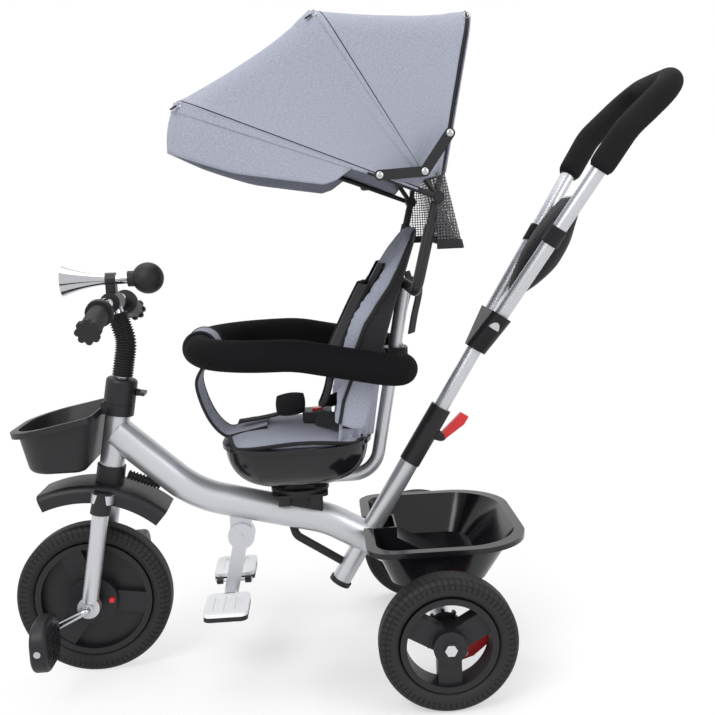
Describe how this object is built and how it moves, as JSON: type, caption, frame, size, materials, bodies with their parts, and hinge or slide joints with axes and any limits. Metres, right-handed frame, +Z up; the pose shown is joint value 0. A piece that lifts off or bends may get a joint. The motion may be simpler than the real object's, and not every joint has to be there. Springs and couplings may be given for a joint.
{
  "type": "children's tricycle",
  "caption": "Children's tricycle with a swivel seat, guard ring, folding canopy, folding footrest, front and rear baskets, horn and a steering push bar for a parent.",
  "frame": {"origin": "on the floor under the seat, in the middle plane, 109.6 mm ahead of the rear axle", "axes": "+Z up, -X the way it faces, -Y its left side"},
  "size_m": [1.052, 0.4808, 0.9781],
  "materials": {
    "silver_tube": "satin silver paint",
    "black_paint": "satin black paint",
    "zinc_steel": "bright plated steel",
    "chrome": "polished plating",
    "tyre_foam": "matt foamed rubber",
    "black_plastic": "satin moulded plastic",
    "gloss_black_plastic": "gloss moulded plastic",
    "red_plastic": "gloss moulded plastic",
    "white_plastic": "satin moulded plastic",
    "black_rubber": "soft rubber",
    "black_foam": "closed-cell foam",
    "grey_cloth": "woven melange cloth",
    "grey_webbing": "woven cloth with dark edging",
    "black_net": "open net"
  },
  "bodies": {
    "frame": {"main_frame": "silver_tube", "rear_axle": "zinc_steel", "swivel_base": "black_plastic", "rear_basket": "gloss_black_plastic", "cable_hoses": "black_rubber"},
    "fork": {"fork": "silver_tube", "front_fender": "black_plastic", "front_basket": "black_plastic", "stem_sleeve": "black_plastic"},
    "handlebar": {"handlebar": "chrome", "stem_bellows": "black_rubber", "bar_clamp": "black_plastic", "grips": "black_rubber", "horn_bell": "chrome", "horn_bulb": "black_rubber"},
    "wing_bolt": {"wing_bolt": "black_plastic"},
    "front_wheel": {"front_tyre": "tyre_foam", "front_rim": "black_plastic"},
    "clutch_knob": {"clutch_knob": "red_plastic"},
    "crank": {"crank": "chrome"},
    "pedal_left": {"pedal_left": "black_plastic"},
    "pedal_right": {"pedal_right": "black_plastic"},
    "rear_wheel_left": {"rear_tyre_left": "tyre_foam", "rear_rim_left": "black_plastic"},
    "rear_wheel_right": {"rear_tyre_right": "tyre_foam", "rear_rim_right": "black_plastic"},
    "brake_left": {"brake_lever_left": "red_plastic"},
    "brake_right": {"brake_lever_right": "red_plastic"},
    "seat": {"swivel_turntable": "black_plastic", "seat_frame": "silver_tube", "canopy_lower_posts": "black_paint", "seat_pan": "black_plastic", "seat_pad": "grey_cloth", "back_pad": "grey_cloth", "guard_ring_tube": "zinc_steel", "guard_ring_foam": "black_foam", "harness_straps": "grey_webbing", "buckle": "black_plastic"},
    "buckle_button": {"buckle_button": "red_plastic"},
    "canopy_mast": {"canopy_mast": "black_paint", "canopy_back_panel": "grey_cloth", "net_curtain": "black_net"},
    "mid_bow": {"canopy_mid_bow": "black_paint", "canopy_rear_panel": "grey_cloth"},
    "front_bow": {"canopy_front_bow": "black_paint", "canopy_front_panel": "grey_cloth", "canopy_visor": "grey_cloth"},
    "stretcher_rear": {"stretcher_rear": "black_plastic"},
    "stretcher_front": {"stretcher_front": "black_plastic"},
    "footrest": {"footrest_arm": "silver_tube"},
    "footplate_left": {"footplate_base_left": "black_plastic", "footplate_top_left": "white_plastic"},
    "footplate_right": {"footplate_base_right": "black_plastic", "footplate_top_right": "white_plastic"},
    "push_turn": {"push_sleeve": "black_plastic"},
    "push_handle": {"push_bar": "silver_tube", "push_coupler": "black_plastic", "push_grip": "black_foam", "push_bag": "grey_cloth"},
    "release": {"release_lever": "red_plastic"}
  },
  "joints": [
    {"name": "fork_steer", "type": "hinge", "parent": "frame", "child": "fork", "pos_m": [-0.38699, 0, 0.33351], "axis": [0.1908, 0, 0.9816], "range_deg": [-30, 30]},
    {"name": "handlebar_height", "type": "slide", "parent": "fork", "child": "handlebar", "axis": [0.1908, 0, 0.9816], "range_m": [0, 0.03]},
    {"name": "wing_bolt_turn", "type": "hinge", "parent": "fork", "child": "wing_bolt", "pos_m": [-0.35304, 0, 0.44845], "axis": [0.9816, 0, -0.1908], "continuous": true},
    {"name": "front_wheel_spin", "type": "hinge", "parent": "fork", "child": "front_wheel", "pos_m": [-0.4284, 0, 0.1205], "axis": [0, 1, 0], "continuous": true},
    {"name": "clutch_knob_slide", "type": "slide", "parent": "front_wheel", "child": "clutch_knob", "axis": [0, -1, 0], "range_m": [0, 0.004]},
    {"name": "crank_spin", "type": "hinge", "parent": "fork", "child": "crank", "pos_m": [-0.4284, 0, 0.1205], "axis": [0, 1, 0], "continuous": true},
    {"name": "pedal_left_spin", "type": "hinge", "parent": "crank", "child": "pedal_left", "pos_m": [-0.47915, -0.115, 0.09683], "axis": [0, 1, 0], "continuous": true},
    {"name": "rear_wheel_left_spin", "type": "hinge", "parent": "frame", "child": "rear_wheel_left", "pos_m": [0.1096, -0.207, 0.1], "axis": [0, 1, 0], "continuous": true},
    {"name": "brake_left_press", "type": "hinge", "parent": "frame", "child": "brake_left", "pos_m": [0.1366, -0.1744, 0.067], "axis": [0, 1, 0], "range_deg": [0, 20]},
    {"name": "pedal_right_spin", "type": "hinge", "parent": "crank", "child": "pedal_right", "pos_m": [-0.37765, 0.115, 0.14417], "axis": [0, 1, 0], "continuous": true},
    {"name": "rear_wheel_right_spin", "type": "hinge", "parent": "frame", "child": "rear_wheel_right", "pos_m": [0.1096, 0.207, 0.1], "axis": [0, 1, 0], "continuous": true},
    {"name": "brake_right_press", "type": "hinge", "parent": "frame", "child": "brake_right", "pos_m": [0.1366, 0.1744, 0.067], "axis": [0, 1, 0], "range_deg": [0, 20]},
    {"name": "seat_swivel", "type": "hinge", "parent": "frame", "child": "seat", "pos_m": [-0.095, 0, 0.284], "axis": [0, 0, 1], "range_deg": [-110, 110]},
    {"name": "buckle_press", "type": "slide", "parent": "seat", "child": "buckle_button", "axis": [0, 0, -1], "range_m": [0, 0.003], "stiffness_N_per_m": 400},
    {"name": "canopy_height", "type": "slide", "parent": "seat", "child": "canopy_mast", "axis": [0.2419, 0, 0.9703], "range_m": [0, 0.045]},
    {"name": "canopy_mid_fold", "type": "hinge", "parent": "canopy_mast", "child": "mid_bow", "pos_m": [0.11532, 0, 0.72411], "axis": [0, 1, 0], "range_deg": [0, 37.5], "deforming": ["canopy_rear_panel"]},
    {"name": "canopy_front_fold", "type": "hinge", "parent": "mid_bow", "child": "front_bow", "pos_m": [0.11532, 0, 0.72411], "axis": [0, 1, 0], "range_deg": [0, 27.8], "deforming": ["canopy_front_panel"]},
    {"name": "stretcher_rear_turn", "type": "hinge", "parent": "canopy_mast", "child": "stretcher_rear", "pos_m": [0.13207, 0, 0.80642], "axis": [0, 1, 0], "range_deg": [-20, 0]},
    {"name": "stretcher_front_turn", "type": "hinge", "parent": "front_bow", "child": "stretcher_front", "pos_m": [0.03711, 0, 0.75476], "axis": [0, 1, 0], "range_deg": [0, 20]},
    {"name": "footrest_fold", "type": "hinge", "parent": "frame", "child": "footrest", "pos_m": [-0.192, 0, 0.207], "axis": [0, -1, 0], "range_deg": [0, 80]},
    {"name": "footplate_left_fold", "type": "hinge", "parent": "footrest", "child": "footplate_left", "pos_m": [-0.21269, -0.036, 0.11736], "axis": [-1, 0, 0], "range_deg": [0, 80]},
    {"name": "footplate_right_fold", "type": "hinge", "parent": "footrest", "child": "footplate_right", "pos_m": [-0.21269, 0.036, 0.11736], "axis": [1, 0, 0], "range_deg": [0, 80]},
    {"name": "push_bar_turn", "type": "hinge", "parent": "frame", "child": "push_turn", "pos_m": [0.0815, 0, 0.3106], "axis": [0.527, 0, 0.8499], "range_deg": [-30, 30]},
    {"name": "push_bar_height", "type": "slide", "parent": "push_turn", "child": "push_handle", "axis": [0.527, 0, 0.8499], "range_m": [-0.09, 0]},
    {"name": "release_open", "type": "hinge", "parent": "push_turn", "child": "release", "pos_m": [0.13437, 0, 0.34842], "axis": [0, 1, 0], "range_deg": [0, 90]}
  ],
  "couplings": [
    {"joint": "crank_spin", "follows": "front_wheel_spin", "ratio": 1},
    {"joint": "canopy_front_fold", "follows": "canopy_mid_fold", "ratio": 0.739},
    {"joint": "stretcher_rear_turn", "follows": "canopy_mid_fold", "ratio": -0.52},
    {"joint": "stretcher_front_turn", "follows": "canopy_mid_fold", "ratio": 0.52},
    {"joint": "push_bar_turn", "follows": "fork_steer", "ratio": 1}
  ]
}
